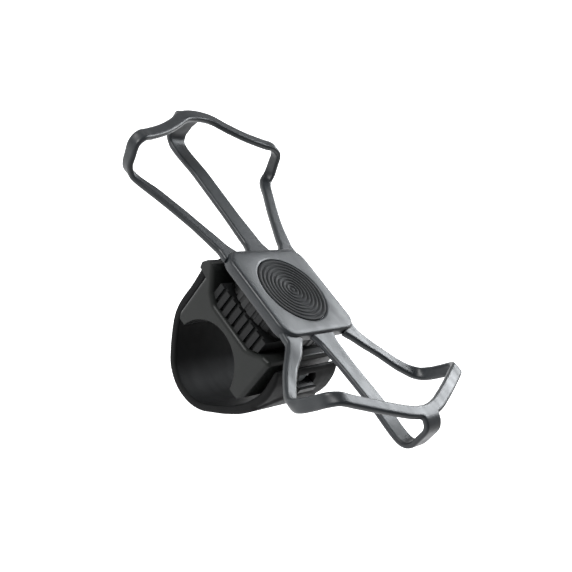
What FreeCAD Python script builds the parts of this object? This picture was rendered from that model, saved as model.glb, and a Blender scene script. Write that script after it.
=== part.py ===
import FreeCAD, Part
import math
import os

import Sketcher

# Elastic phone tie on a turning clamp for a 31.8 mm handlebar.
# Frame, in millimetres: the origin is on the handlebar's axis at the middle of the saddle, +X runs
# along the bar, +Y towards the phone's top edge, +Z along the turntable's axis, towards the phone.

DIMENSIONS = [
    # handlebar and saddle
    ("bar_radius", 15.9),
    ("saddle_half_width", 20.5),
    ("saddle_bore_radius", 15.9),
    ("liner_half_width", 16.0),
    ("liner_thickness", 1.4),
    ("leg_tip_half", 18.6),
    ("leg_foot_half", 20.6),
    ("leg_outer_half", 21.6),
    ("leg_tip_height", 3.4),
    ("leg_foot_height", 6.0),
    ("leg_top_height", 24.0),
    ("trough_floor", 19.4),
    ("trough_floor_half", 10.4),
    ("trough_knee_half", 14.6),
    ("trough_knee_height", 21.9),
    ("horn_inner_half", 19.6),
    ("horn_inner_height", 27.0),
    ("horn_top", 29.6),
    ("ear_inner", 20.4),
    ("ear_outer", 25.4),
    ("ear_underside", 24.6),
    ("rear_knee_half", 13.2),
    ("rear_knee_height", 20.7),
    ("rear_lip_inner", 17.4),
    ("rear_lip_rise", 23.5),
    ("rear_lip_outer", 20.6),
    ("rear_lip_top", 24.1),
    ("boss_radius", 7.0),
    ("boss_top", 27.0),
    # strap pin and its slot in the ears
    ("pin_centre", 22.8),
    ("pin_height", 27.1),
    ("pin_radius", 1.25),
    ("pin_half_length", 18.5),
    ("eye_slot_half", 13.4),
    ("eye_slot_inner", 19.9),
    ("eye_slot_floor", 23.2),
    # strap
    ("strap_half_width", 18.4),
    ("strap_thickness", 2.9),
    ("strap_leg_inner", 21.35),
    ("strap_leg_outer", 24.8),
    ("strap_eye_radius", 2.7),
    ("strap_eye_half_width", 13.0),
    ("strap_slot_half", 5.4),
    ("strap_slot_bottom", 13.4),
    ("strap_slot_top", 20.8),
    ("split_centre", 13.5),
    ("split_depth", 10.9),
    ("split_gap", 0.3),
    # hook that the strap's free end drops over
    ("hook_plate_half", 11.0),
    ("hook_plate_depth", 2.0),
    ("hook_plate_bottom", 7.5),
    ("hook_plate_top", 19.6),
    ("hook_peg_half", 4.8),
    ("hook_peg_bottom", 14.1),
    ("hook_peg_top", 16.9),
    ("hook_peg_reach", 30.0),
    ("hook_lip_top", 17.4),
    ("hook_lip_start", 28.8),
    ("hook_screw_spacing", 15.0),
    ("hook_screw_height", 10.3),
    ("hook_screw_radius", 1.25),
    ("hook_screw_head_radius", 2.3),
    ("hook_screw_head_depth", 1.2),
    ("hook_screw_length", 5.4),
    # ribbed damper block in the trough
    ("damper_half_length", 19.2),
    ("damper_half_depth", 14.4),
    ("damper_foot_half", 10.0),
    ("damper_foot", 19.45),
    ("damper_shoulder", 22.0),
    ("damper_top", 26.9),
    ("damper_bore_radius", 7.05),
    ("rib_pitch", 3.8),
    ("rib_groove", 1.5),
    ("rib_depth", 1.2),
    # pivot
    ("insert_radius", 3.9),
    ("insert_bottom", 17.9),
    ("insert_bore", 3.05),
    ("shank_radius", 3.0),
    ("pivot_screw_end", 19.4),
    ("ring_inner", 4.2),
    ("ring_outer", 16.5),
    ("ring_top", 28.0),
    ("turntable_radius", 19.0),
    ("turntable_bottom", 28.05),
    ("turntable_top", 33.2),
    ("turntable_bore", 3.07),
    ("turntable_counterbore", 7.0),
    ("turntable_floor", 29.7),
    ("grip_groove_radius", 0.9),
    ("grip_grooves", 30),
    ("spring_inner", 3.2),
    ("spring_outer", 6.2),
    ("spring_height", 0.9),
    ("spring_stock", 0.5),
    ("washer_thickness", 0.8),
    ("head_radius", 5.2),
    ("head_height", 3.0),
    ("socket_half", 2.0),
    ("socket_depth", 1.8),
    # hub, clamp plate and front pad
    ("hub_half_width", 21.5),
    ("hub_half_depth", 20.6),
    ("hub_corner", 5.0),
    ("hub_top", 37.7),
    ("hub_pocket_radius", 15.0),
    ("hub_pocket_floor", 35.2),
    ("hub_bore", 8.0),
    ("plate_radius", 14.9),
    ("plate_thickness", 1.5),
    ("plate_bore", 7.6),
    ("plate_screw_circle", 11.4),
    ("plate_screw_radius", 1.45),
    ("plate_screw_end", 30.2),
    ("plate_screw_head", 2.7),
    ("plate_screw_sink", 1.2),
    # phone space that the tie is stretched round
    ("phone_half_width", 38.9),
    ("phone_back", 37.7),
    ("phone_front", 48.2),
    ("phone_top_edge", 82.1),
    ("phone_bottom_edge", 70.9),
    ("tie_stand_off", 0.15),
    # tie strands
    ("strand_width", 5.0),
    ("strand_thickness", 2.4),
    ("stem_width", 8.4),
    ("stem_thickness", 2.1),
    ("hump_width", 15.0),
    ("loop_gap", 0.35),
]
D = dict(DIMENSIONS)

doc = FreeCAD.newDocument("phone_tie_mount")
sheet = doc.addObject("Spreadsheet::Sheet", "Dims")
for row, (alias, value) in enumerate(DIMENSIONS, start=1):
    sheet.set(f"A{row}", alias)
    sheet.set(f"B{row}", str(value))
    sheet.setAlias(f"B{row}", alias)
doc.recompute()


class Size:
    """A length with the spreadsheet expression that drives it."""

    def __init__(self, value, text):
        self.value = float(value)
        self.text = text

    def __add__(self, other):
        other = as_size(other)
        return Size(self.value + other.value, f"({self.text} + {other.text})")

    def __sub__(self, other):
        other = as_size(other)
        return Size(self.value - other.value, f"({self.text} - {other.text})")

    def __neg__(self):
        return Size(-self.value, f"(0 - {self.text})")

    def __mul__(self, factor):
        return Size(self.value * factor, f"({self.text} * {factor})")


def as_size(item):
    return item if isinstance(item, Size) else Size(item, str(item))


def dim(alias):
    """The named cell of the spreadsheet, as a Size."""
    return Size(D[alias], f"Dims.{alias}")


def vec(x, y, z):
    return FreeCAD.Vector(x, y, z)


# ---------------------------------------------------------------- PartDesign helpers


def new_body(name):
    body = doc.addObject("PartDesign::Body", name)
    body.Label = name
    return body


def new_sketch(body, name, role, offset=None):
    """A sketch on one of the body's own origin planes, shifted along the plane's normal."""
    plane = next(f for f in body.Origin.OriginFeatures if f.Role == role)
    sketch = body.newObject("Sketcher::SketchObject", name)
    sketch.AttachmentSupport = [(plane, "")]
    sketch.MapMode = "FlatFace"
    if offset is not None:
        sketch.AttachmentOffset = FreeCAD.Placement(vec(0, 0, offset.value), FreeCAD.Rotation())
        sketch.setExpression("AttachmentOffset.Base.z", offset.text)
    return sketch


def pin_point(sketch, geometry, end, x, y):
    """Ties one point of the sketch to the origin by two driven distances."""
    for kind, size in (("DistanceX", x), ("DistanceY", y)):
        if abs(size.value) < 1e-9:
            first, other = (-1, 1), (geometry, end)
            sketch.addConstraint(Sketcher.Constraint(kind, *first, *other, 0.0))
            continue
        if size.value > 0:
            constraint = Sketcher.Constraint(kind, -1, 1, geometry, end, size.value)
            text = size.text
        else:
            constraint = Sketcher.Constraint(kind, geometry, end, -1, 1, -size.value)
            text = f"0 - {size.text}"
        index = sketch.addConstraint(constraint)
        sketch.setExpression(f"Constraints[{index}]", text)


def draw_polygon(sketch, corners):
    """A closed polygon; every corner is a pair of Sizes."""
    corners = [(as_size(x), as_size(y)) for x, y in corners]
    first = sketch.GeometryCount
    count = len(corners)
    for i in range(count):
        a, b = corners[i], corners[(i + 1) % count]
        sketch.addGeometry(
            Part.LineSegment(vec(a[0].value, a[1].value, 0), vec(b[0].value, b[1].value, 0))
        )
    for i in range(count):
        following = first + (i + 1) % count
        sketch.addConstraint(Sketcher.Constraint("Coincident", first + i, 2, following, 1))
    for i, (x, y) in enumerate(corners):
        pin_point(sketch, first + i, 1, x, y)


def draw_circle(sketch, x, y, radius):
    x, y = as_size(x), as_size(y)
    index = sketch.addGeometry(Part.Circle(vec(x.value, y.value, 0), vec(0, 0, 1), radius.value))
    pin_point(sketch, index, 3, x, y)
    constraint = sketch.addConstraint(Sketcher.Constraint("Radius", index, radius.value))
    sketch.setExpression(f"Constraints[{constraint}]", radius.text)


def pad(body, sketch, name, length, both_ways=False, backwards=False):
    feature = body.newObject("PartDesign::Pad", name)
    feature.Profile = sketch
    feature.Length = length.value
    feature.setExpression("Length", length.text)
    feature.Midplane = both_ways
    feature.Reversed = backwards
    doc.recompute()
    return feature


def pocket(body, sketch, name, length, both_ways=False, backwards=False):
    """A pocket that is checked to have cut something."""
    before = body.Shape.Volume
    feature = body.newObject("PartDesign::Pocket", name)
    feature.Profile = sketch
    feature.Length = length.value
    feature.setExpression("Length", length.text)
    feature.Midplane = both_ways
    feature.Reversed = backwards
    doc.recompute()
    if body.Shape.Volume > before - 1e-3:
        raise RuntimeError(f"{name} cuts nothing")
    return feature


def fillet(body, name, radius, wanted):
    """Rounds the edges of the body's last feature whose middle point passes the test."""
    base = body.Tip
    names = []
    for i, edge in enumerate(base.Shape.Edges, start=1):
        middle = edge.valueAt((edge.FirstParameter + edge.LastParameter) / 2)
        if wanted(edge, middle):
            names.append(f"Edge{i}")
    feature = body.newObject("PartDesign::Fillet", name)
    feature.Base = (base, names)
    feature.Radius = radius
    doc.recompute()
    return feature


def ring_body(name, inner, outer, bottom, height):
    """A plain washer about the turntable's axis."""
    body = new_body(name)
    sketch = new_sketch(body, name + "_outline", "XY_Plane", bottom)
    draw_circle(sketch, 0, 0, outer)
    draw_circle(sketch, 0, 0, inner)
    pad(body, sketch, name + "_pad", height)
    return body


NODES = []


def keep(obj):
    NODES.append(obj)
    return obj


# ---------------------------------------------------------------- saddle

saddle = new_body("saddle")
profile = new_sketch(saddle, "saddle_profile", "YZ_Plane")
draw_polygon(
    profile,
    [
        (dim("leg_tip_half"), dim("leg_tip_height")),
        (dim("leg_foot_half"), dim("leg_foot_height")),
        (dim("leg_outer_half") - 0.6, dim("leg_top_height")),
        (dim("ear_outer") - 0.6, dim("ear_underside")),
        (dim("ear_outer"), dim("ear_underside") + 2.2),
        (dim("ear_outer") - 1.4, dim("horn_top") - 0.4),
        (dim("ear_inner") + 1.2, dim("horn_top")),
        (dim("horn_inner_half") + 0.1, dim("horn_inner_height") + 1.2),
        (dim("trough_knee_half"), dim("trough_knee_height")),
        (dim("trough_floor_half"), dim("trough_floor")),
        (-dim("trough_floor_half"), dim("trough_floor")),
        (-dim("rear_knee_half"), dim("rear_knee_height")),
        (-dim("rear_lip_inner"), dim("rear_lip_rise")),
        (-dim("rear_lip_outer"), dim("rear_lip_top")),
        (-dim("leg_outer_half"), dim("rear_lip_top") - 1.4),
        (-dim("leg_outer_half"), dim("leg_foot_height")),
        (-dim("leg_foot_half") + 0.6, dim("leg_tip_height") + 0.2),
        (-dim("leg_tip_half"), dim("leg_tip_height")),
    ],
)
pad(saddle, profile, "saddle_pad", dim("saddle_half_width") * 2, both_ways=True)


def saddle_knee(edge, middle):
    """The four long edges where the trough's floor turns up into the horns."""
    along_bar = edge.Length > 40 and abs(middle.x) < 1e-6
    return along_bar and middle.z < 22.5 and abs(middle.y) < 15 and middle.z > 19


fillet(saddle, "trough_blend", 3.2, saddle_knee)


def rear_lip(edge, middle):
    """The long edges over the top of the low lip on the rider's side."""
    return edge.Length > 40 and abs(middle.x) < 1e-6 and middle.y < -17 and middle.z > 22


fillet(saddle, "rear_lip_round", 0.9, rear_lip)

bore = new_sketch(saddle, "saddle_bore", "YZ_Plane")
draw_circle(bore, 0, 0, dim("saddle_bore_radius"))
pocket(saddle, bore, "saddle_bore_cut", dim("saddle_half_width") * 2 + 2, both_ways=True)

liner_bed = new_sketch(saddle, "liner_bed", "YZ_Plane")
draw_circle(liner_bed, 0, 0, dim("bar_radius") + dim("liner_thickness"))
pocket(saddle, liner_bed, "liner_bed_cut", dim("liner_half_width") * 2 + 0.1, both_ways=True)

boss = new_sketch(saddle, "boss_outline", "XY_Plane", dim("trough_floor") - 0.6)
draw_circle(boss, 0, 0, dim("boss_radius"))
pad(saddle, boss, "boss_pad", dim("boss_top") - dim("trough_floor") + 0.6)

insert_hole = new_sketch(saddle, "insert_hole", "XY_Plane", dim("boss_top"))
draw_circle(insert_hole, 0, 0, dim("insert_radius"))
pocket(saddle, insert_hole, "insert_hole_cut", dim("boss_top") - dim("insert_bottom"))

eye_slot = new_sketch(saddle, "eye_slot", "YZ_Plane")
draw_polygon(
    eye_slot,
    [
        (dim("eye_slot_inner"), dim("eye_slot_floor")),
        (dim("ear_outer") + 2, dim("eye_slot_floor")),
        (dim("ear_outer") + 2, dim("horn_top") + 2),
        (dim("eye_slot_inner"), dim("horn_top") + 2),
    ],
)
pocket(saddle, eye_slot, "eye_slot_cut", dim("eye_slot_half") * 2, both_ways=True)

pin_hole = new_sketch(saddle, "pin_hole", "YZ_Plane")
draw_circle(pin_hole, dim("pin_centre"), dim("pin_height"), dim("pin_radius"))
pocket(saddle, pin_hole, "pin_hole_cut", dim("pin_half_length") * 2, both_ways=True)

hook_bed = new_sketch(saddle, "hook_bed", "YZ_Plane")
draw_polygon(
    hook_bed,
    [
        (-dim("leg_outer_half") + dim("hook_plate_depth"), dim("hook_plate_bottom")),
        (-dim("leg_outer_half") + dim("hook_plate_depth"), dim("hook_plate_top")),
        (-dim("leg_outer_half") - 2, dim("hook_plate_top")),
        (-dim("leg_outer_half") - 2, dim("hook_plate_bottom")),
    ],
)
pocket(saddle, hook_bed, "hook_bed_cut", dim("hook_plate_half") * 2, both_ways=True)

hook_holes = new_sketch(saddle, "hook_holes", "XZ_Plane", dim("leg_outer_half"))
for side in (-0.5, 0.5):
    draw_circle(
        hook_holes,
        dim("hook_screw_spacing") * side,
        dim("hook_screw_height"),
        dim("hook_screw_radius"),
    )
pocket(saddle, hook_holes, "hook_holes_cut", dim("hook_screw_length"))


def saddle_flank(edge, middle):
    """The flanks' outer edges over the trough, the low lip and down the legs."""
    if abs(abs(middle.x) - D["saddle_half_width"]) > 1e-6 or edge.Length < 0.3:
        return False
    over_top = middle.z > D["trough_floor"] - 0.2 and middle.y < 17
    leg_side = abs(middle.y) > 20.4 and 8 < middle.z < 24
    return over_top or leg_side


fillet(saddle, "flank_round", 1.7, saddle_flank)
keep(saddle)

# ---------------------------------------------------------------- liner in the saddle's arc

liner = new_body("saddle_liner")
liner_profile = new_sketch(liner, "liner_profile", "YZ_Plane")
draw_circle(liner_profile, 0, 0, dim("bar_radius") + dim("liner_thickness") - 0.02)
draw_circle(liner_profile, 0, 0, dim("bar_radius"))
pad(liner, liner_profile, "liner_pad", dim("liner_half_width") * 2, both_ways=True)
liner_trim = new_sketch(liner, "liner_trim", "YZ_Plane")
draw_polygon(
    liner_trim,
    [
        (-dim("leg_outer_half"), -dim("leg_outer_half")),
        (dim("leg_outer_half"), -dim("leg_outer_half")),
        (dim("leg_outer_half"), dim("leg_tip_height") + 0.4),
        (-dim("leg_outer_half"), dim("leg_tip_height") + 0.4),
    ],
)
pocket(liner, liner_trim, "liner_trim_cut", dim("saddle_half_width") * 2, both_ways=True)
keep(liner)

# ---------------------------------------------------------------- ribbed damper block

damper = new_body("damper_block")
block = new_sketch(damper, "damper_profile", "YZ_Plane")
draw_polygon(
    block,
    [
        (dim("damper_foot_half"), dim("damper_foot")),
        (dim("damper_half_depth"), dim("damper_shoulder")),
        (dim("damper_half_depth"), dim("damper_top")),
        (-dim("damper_half_depth"), dim("damper_top")),
        (-dim("damper_half_depth"), dim("damper_shoulder")),
        (-dim("damper_foot_half"), dim("damper_foot")),
    ],
)
pad(damper, block, "damper_pad", dim("damper_half_length") * 2, both_ways=True)
damper_bore = new_sketch(damper, "damper_bore", "XY_Plane", dim("damper_top"))
draw_circle(damper_bore, 0, 0, dim("damper_bore_radius"))
pocket(damper, damper_bore, "damper_bore_cut", dim("damper_top") - dim("damper_foot") + 1)
ribs = new_sketch(damper, "rib_grooves", "XY_Plane", dim("damper_top"))
for step in range(-3, 4):
    low = dim("rib_pitch") * step - dim("rib_groove") * 0.5
    high = dim("rib_pitch") * step + dim("rib_groove") * 0.5
    for side in (-1, 1):
        outer = dim("damper_half_length") * side
        inner = (dim("damper_half_length") - dim("rib_depth")) * side
        draw_polygon(ribs, [(inner, low), (outer * 1.05, low), (outer * 1.05, high), (inner, high)])
pocket(damper, ribs, "rib_grooves_cut", dim("damper_top") - dim("damper_foot") + 1)
keep(damper)

# ---------------------------------------------------------------- pivot hardware

insert = ring_body(
    "pivot_insert",
    dim("insert_bore"),
    dim("insert_radius") - 0.01,
    dim("insert_bottom"),
    dim("boss_top") - dim("insert_bottom"),
)
keep(insert)
keep(
    ring_body(
        "friction_ring",
        dim("ring_inner"),
        dim("ring_outer"),
        dim("boss_top"),
        dim("ring_top") - dim("boss_top"),
    )
)

screw = new_body("pivot_screw")
spring_top = dim("turntable_floor") + dim("spring_height") + 0.03
head_seat = spring_top + dim("washer_thickness")
shank = new_sketch(screw, "screw_shank", "XY_Plane", dim("pivot_screw_end"))
draw_circle(shank, 0, 0, dim("shank_radius"))
pad(screw, shank, "screw_shank_pad", head_seat - dim("pivot_screw_end") + 0.5)
head = new_sketch(screw, "screw_head", "XY_Plane", head_seat)
draw_circle(head, 0, 0, dim("head_radius"))
pad(screw, head, "screw_head_pad", dim("head_height"))
socket = new_sketch(screw, "screw_socket", "XY_Plane", head_seat + dim("head_height"))
hexagon = []
for corner in range(6):
    angle = math.radians(60 * corner)
    reach = dim("socket_half") * (1 / math.cos(math.radians(30)))
    hexagon.append((reach * math.cos(angle), reach * math.sin(angle)))
draw_polygon(socket, hexagon)
pocket(screw, socket, "screw_socket_cut", dim("socket_depth"))
fillet(
    screw,
    "screw_head_round",
    1.2,
    lambda e, m: abs(m.z - (head_seat + dim("head_height")).value) < 1e-6 and e.Length > 20,
)
keep(screw)

spring = new_body("disc_spring")
cone = new_sketch(spring, "spring_section", "XZ_Plane")
spring_bottom = dim("turntable_floor") + 0.02
draw_polygon(
    cone,
    [
        (dim("spring_inner"), spring_top - dim("spring_stock")),
        (dim("spring_outer"), spring_bottom),
        (dim("spring_outer"), spring_bottom + dim("spring_stock")),
        (dim("spring_inner"), spring_top),
    ],
)
turned = spring.newObject("PartDesign::Revolution", "spring_turned")
turned.Profile = cone
turned.ReferenceAxis = (cone, ["V_Axis"])
turned.Angle = 360
doc.recompute()
keep(spring)

keep(
    ring_body(
        "flat_washer",
        dim("spring_inner"),
        dim("spring_outer"),
        spring_top,
        dim("washer_thickness"),
    )
)

# ---------------------------------------------------------------- turntable

turntable = new_body("turntable")
disc = new_sketch(turntable, "turntable_outline", "XY_Plane", dim("turntable_bottom"))
draw_circle(disc, 0, 0, dim("turntable_radius"))
draw_circle(disc, 0, 0, dim("turntable_bore"))
pad(turntable, disc, "turntable_pad", dim("turntable_top") - dim("turntable_bottom"))
counterbore = new_sketch(turntable, "turntable_recess", "XY_Plane", dim("turntable_top"))
draw_circle(counterbore, 0, 0, dim("turntable_counterbore"))
pocket(turntable, counterbore, "turntable_recess_cut", dim("turntable_top") - dim("turntable_floor"))
pilots = new_sketch(turntable, "turntable_pilots", "XY_Plane", dim("turntable_top"))
for side_x in (-1, 1):
    for side_y in (-1, 1):
        draw_circle(
            pilots,
            dim("plate_screw_circle") * (side_x * math.sqrt(0.5)),
            dim("plate_screw_circle") * (side_y * math.sqrt(0.5)),
            dim("plate_screw_radius") + 0.02,
        )
pocket(turntable, pilots, "turntable_pilots_cut", dim("turntable_top") - dim("plate_screw_end") + 0.3)
groove = new_sketch(turntable, "grip_groove", "XY_Plane", dim("turntable_top"))
draw_circle(groove, dim("turntable_radius") + 0.3, 0, dim("grip_groove_radius"))
cut = pocket(
    turntable, groove, "grip_groove_cut", dim("turntable_top") - dim("turntable_bottom") + 1
)
around = turntable.newObject("PartDesign::PolarPattern", "grip_grooves")
around.Originals = [cut]
around.Axis = (groove, ["N_Axis"])
around.Angle = 360
around.Occurrences = D["grip_grooves"]
around.setExpression("Occurrences", "Dims.grip_grooves")
turntable.Tip = around
doc.recompute()
keep(turntable)

# ---------------------------------------------------------------- hub, clamp plate, pad, screws

hub = new_body("tie_hub")
outline = new_sketch(hub, "hub_outline", "XY_Plane", dim("turntable_top"))
w, d, c = dim("hub_half_width"), dim("hub_half_depth"), dim("hub_corner")
draw_polygon(
    outline,
    [
        (w, -d + c), (w, d - c), (w - c, d), (-w + c, d),
        (-w, d - c), (-w, -d + c), (-w + c, -d), (w - c, -d),
    ],
)
pad(hub, outline, "hub_pad", dim("hub_top") - dim("turntable_top"))
hub_bore = new_sketch(hub, "hub_bore", "XY_Plane", dim("hub_top"))
draw_circle(hub_bore, 0, 0, dim("hub_bore"))
pocket(hub, hub_bore, "hub_bore_cut", dim("hub_top") - dim("turntable_top") + 1)
hub_pocket = new_sketch(hub, "hub_pocket", "XY_Plane", dim("hub_top"))
draw_circle(hub_pocket, 0, 0, dim("hub_pocket_radius"))
pocket(hub, hub_pocket, "hub_pocket_cut", dim("hub_top") - dim("hub_pocket_floor"))
hub_holes = new_sketch(hub, "hub_holes", "XY_Plane", dim("hub_pocket_floor"))
for side_x in (-1, 1):
    for side_y in (-1, 1):
        draw_circle(
            hub_holes,
            dim("plate_screw_circle") * (side_x * math.sqrt(0.5)),
            dim("plate_screw_circle") * (side_y * math.sqrt(0.5)),
            dim("plate_screw_radius") + 0.02,
        )
pocket(hub, hub_holes, "hub_holes_cut", dim("hub_pocket_floor") - dim("turntable_top") + 1)
fillet(
    hub,
    "hub_corner_round",
    2.0,
    lambda e, m: abs(e.Length - (D["hub_top"] - D["turntable_top"])) < 1e-6
    and abs(m.x) > 15 and abs(m.y) > 14,
)
keep(hub)

plate = new_body("clamp_plate")
plate_outline = new_sketch(plate, "plate_outline", "XY_Plane", dim("hub_pocket_floor"))
draw_circle(plate_outline, 0, 0, dim("plate_radius"))
draw_circle(plate_outline, 0, 0, dim("plate_bore"))
pad(plate, plate_outline, "plate_pad", dim("plate_thickness"))
plate_top = dim("hub_pocket_floor") + dim("plate_thickness")
for label, radius, depth in (
    ("plate_holes", dim("plate_screw_radius") + 0.02, dim("plate_thickness") + 1),
    ("plate_sinks", dim("plate_screw_head") + 0.03, dim("plate_screw_sink")),
):
    holes = new_sketch(plate, label, "XY_Plane", plate_top)
    for side_x in (-1, 1):
        for side_y in (-1, 1):
            draw_circle(
                holes,
                dim("plate_screw_circle") * (side_x * math.sqrt(0.5)),
                dim("plate_screw_circle") * (side_y * math.sqrt(0.5)),
                radius,
            )
    pocket(plate, holes, label + "_cut", depth)
keep(plate)

pad_disc = new_body("front_pad")
pad_outline = new_sketch(pad_disc, "front_pad_outline", "XY_Plane", plate_top)
draw_circle(pad_outline, 0, 0, dim("plate_radius"))
pad(pad_disc, pad_outline, "front_pad_pad", dim("hub_top") - plate_top)
keep(pad_disc)


def bound_cylinder(name, radius, length, base, direction):
    """A Part::Cylinder whose radius and length follow the spreadsheet."""
    cylinder = doc.addObject("Part::Cylinder", name)
    cylinder.Radius = radius.value
    cylinder.setExpression("Radius", radius.text)
    cylinder.Height = length.value
    cylinder.setExpression("Height", length.text)
    turn = FreeCAD.Rotation(vec(0, 0, 1), direction)
    cylinder.Placement = FreeCAD.Placement(base, turn)
    return cylinder


def headed_screws(name, places, direction, shank, head, head_depth, length):
    """Identical screws as one node: each a shank fused with its head, all in one compound."""
    screws = []
    for number, place in enumerate(places, start=1):
        stem = bound_cylinder(f"{name}_shank{number}", shank, length, place, direction)
        cap = bound_cylinder(f"{name}_head{number}", head, head_depth, place, direction)
        drive = bound_cylinder(
            f"{name}_drive{number}", shank * 0.62, head_depth * 0.7, place, direction
        )
        whole = doc.addObject("Part::Fuse", f"{name}_whole{number}")
        whole.Base, whole.Tool = cap, stem
        one = doc.addObject("Part::Cut", f"{name}_{number}")
        one.Base, one.Tool = whole, drive
        screws.append(one)
    group = doc.addObject("Part::Compound", name)
    group.Label = name
    group.Links = screws
    doc.recompute()
    return group


reach = D["plate_screw_circle"] * math.sqrt(0.5)
screw_seat = plate_top.value
plate_screws = headed_screws(
    "plate_screws",
    [vec(reach * sx, reach * sy, screw_seat) for sx in (-1, 1) for sy in (-1, 1)],
    vec(0, 0, -1),
    dim("plate_screw_radius"),
    dim("plate_screw_head"),
    dim("plate_screw_sink"),
    plate_top - dim("plate_screw_end"),
)
keep(plate_screws)

# ---------------------------------------------------------------- strap pin and hook

pin = bound_cylinder(
    "strap_pin",
    dim("pin_radius") - 0.02,
    dim("pin_half_length") * 2 - 0.1,
    vec(0.05 - D["pin_half_length"], D["pin_centre"], D["pin_height"]),
    vec(1, 0, 0),
)
pin.Label = "strap_pin"
doc.recompute()
keep(pin)

hook = new_body("strap_hook")
back_plate = new_sketch(hook, "hook_plate", "YZ_Plane")
bed = -dim("leg_outer_half") + dim("hook_plate_depth")
draw_polygon(
    back_plate,
    [
        (bed, dim("hook_plate_bottom") + 0.05),
        (-dim("leg_outer_half"), dim("hook_plate_bottom") + 0.05),
        (-dim("leg_outer_half"), dim("hook_plate_top") - 0.05),
        (bed, dim("hook_plate_top") - 0.05),
    ],
)
pad(hook, back_plate, "hook_plate_pad", dim("hook_plate_half") * 2 - 0.1, both_ways=True)
peg = new_sketch(hook, "hook_peg", "YZ_Plane")
draw_polygon(
    peg,
    [
        (bed - 0.5, dim("hook_peg_bottom")),
        (-dim("hook_peg_reach") + 0.8, dim("hook_peg_bottom")),
        (-dim("hook_peg_reach"), dim("hook_peg_bottom") + 1.0),
        (-dim("hook_peg_reach"), dim("hook_lip_top") - 0.4),
        (-dim("hook_peg_reach") + 0.4, dim("hook_lip_top")),
        (-dim("hook_lip_start"), dim("hook_peg_top")),
        (bed - 0.5, dim("hook_peg_top")),
    ],
)
pad(hook, peg, "hook_peg_pad", dim("hook_peg_half") * 2, both_ways=True)
for label, radius, depth in (
    ("hook_plate_holes", dim("hook_screw_radius") + 0.02, dim("hook_plate_depth") + 0.5),
    ("hook_plate_sinks", dim("hook_screw_head_radius") + 0.03, dim("hook_screw_head_depth")),
):
    holes = new_sketch(hook, label, "XZ_Plane", dim("leg_outer_half"))
    for side in (-0.5, 0.5):
        draw_circle(
            holes, dim("hook_screw_spacing") * side, dim("hook_screw_height"), radius
        )
    pocket(hook, holes, label + "_cut", depth)
keep(hook)

hook_screws = headed_screws(
    "hook_screws",
    [
        vec(D["hook_screw_spacing"] * side, -D["leg_outer_half"], D["hook_screw_height"])
        for side in (-0.5, 0.5)
    ],
    vec(0, 1, 0),
    dim("hook_screw_radius") - 0.02,
    dim("hook_screw_head_radius"),
    dim("hook_screw_head_depth"),
    dim("hook_screw_length") - 0.05,
)
keep(hook_screws)

# ---------------------------------------------------------------- strap round the bar
# The strap is a free curve in the YZ plane, so its two lengths are set as shapes. They share the
# point where the free end starts to lift off the bar.

BAR = D["bar_radius"]
THICK = D["strap_thickness"]
SPLIT = vec(0, -D["split_centre"], -D["split_depth"])


def arc_points(radius, start, end, count):
    """Points round the bar's axis, angles in degrees from +Y towards +Z."""
    points = []
    for i in range(count):
        angle = math.radians(start + (end - start) * i / (count - 1))
        points.append(vec(0, radius * math.cos(angle), radius * math.sin(angle)))
    return points


def smooth(points, tangents=None):
    """A smooth curve through the points, with its two end directions where they matter."""
    curve = Part.BSplineCurve()
    if tangents:
        curve.interpolate(Points=points, InitialTangent=tangents[0], FinalTangent=tangents[1])
    else:
        curve.interpolate(points)
    return curve.toShape()


def bar_arc(radius, start, end):
    """An exact arc about the bar's axis."""
    points = arc_points(radius, start, end, 3)
    return Part.Arc(*points).toShape()


def slab(edges, half_width):
    """A closed outline in the YZ plane, carried half_width to each side."""
    wire = Part.Wire(Part.__sortEdges__(edges))
    face = Part.Face(wire)
    face.translate(vec(-half_width, 0, 0))
    return face.extrude(vec(2 * half_width, 0, 0))


def feature(name, shape):
    node = doc.addObject("Part::Feature", name)
    node.Label = name
    node.Shape = shape
    node.Placement = FreeCAD.Placement()
    return node


split_angle = math.degrees(math.atan2(SPLIT.z, SPLIT.y)) % 360 - 360
end_angle = split_angle + math.degrees((THICK / 2 + D["split_gap"]) / BAR)
start_angle = -36.0
outer_start = -35.0
inner_arc = arc_points(BAR, start_angle, end_angle, 3)
outer_arc = arc_points(BAR + THICK, outer_start, end_angle, 3)
leg_top = D["ear_underside"] - 0.8
inner_line = D["strap_leg_inner"]
outer_line = D["strap_leg_outer"]
inner_leg = [
    vec(0, inner_line - 1.1, 0.9),
    vec(0, inner_line - 0.05, 4.8),
    vec(0, inner_line, 9.5),
    vec(0, inner_line + 0.05, 15.0),
    vec(0, inner_line + 0.1, 20.0),
    vec(0, inner_line + 0.15, leg_top),
]
outer_leg = [
    vec(0, outer_line - 2.7, -1.3),
    vec(0, outer_line - 1.5, 0.9),
    vec(0, outer_line - 0.5, 3.9),
    vec(0, outer_line, 8.5),
    vec(0, outer_line, 14.0),
    vec(0, outer_line + 0.3, 19.5),
    vec(0, outer_line + 0.8, leg_top),
]


def rising(angle):
    """The direction round the bar at that angle, scaled for an even curve."""
    turn = math.radians(angle)
    return vec(0, -math.sin(turn), math.cos(turn)) * 3


upward = vec(0, 0.1, 3)
leg_inner = smooth([inner_arc[0]] + inner_leg, (rising(start_angle), upward))
leg_outer = smooth([outer_arc[0]] + outer_leg, (rising(outer_start), upward))
bottom_end = Part.LineSegment(inner_arc[-1], outer_arc[-1]).toShape()
top_end = Part.LineSegment(inner_leg[-1], outer_leg[-1]).toShape()
strap_edges = [
    bar_arc(BAR, start_angle, end_angle),
    bar_arc(BAR + THICK, outer_start, end_angle),
    leg_inner,
    leg_outer,
    bottom_end,
    top_end,
]
strap_shape = slab(strap_edges, D["strap_half_width"])

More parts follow.
